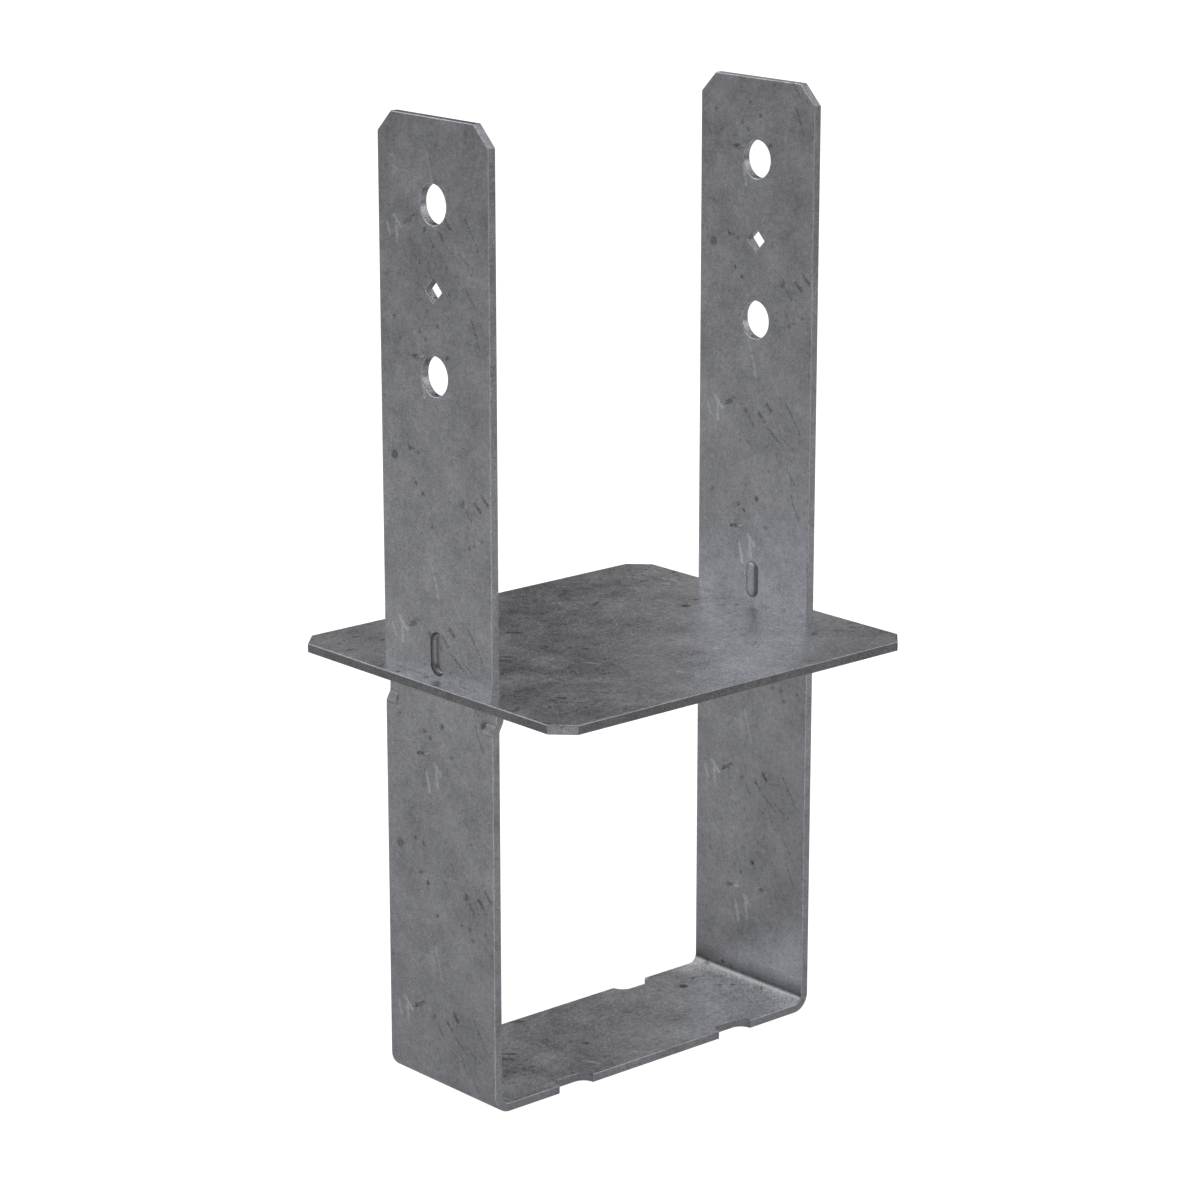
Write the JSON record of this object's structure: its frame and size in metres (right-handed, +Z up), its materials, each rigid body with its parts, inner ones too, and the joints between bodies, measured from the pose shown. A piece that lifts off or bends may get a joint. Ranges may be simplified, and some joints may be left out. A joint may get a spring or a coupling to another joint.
{
  "type": "timber post base",
  "caption": "Folded steel strap cast into a concrete footing, with a slotted plate that carries a timber post between holed legs that bolt to its sides.",
  "frame": {"origin": "middle of the strap's web, on its underside, which is the lowest face", "axes": "+Z up along the legs, X from leg to leg, Y across the strap's width"},
  "size_m": [0.2174, 0.19, 0.454],
  "materials": {
    "galvanised_steel": "hot-dip galvanised, dark and mottled, semi-gloss"
  },
  "bodies": {
    "root": {"strap": "galvanised_steel", "plate": "galvanised_steel"}
  },
  "joints": []
}
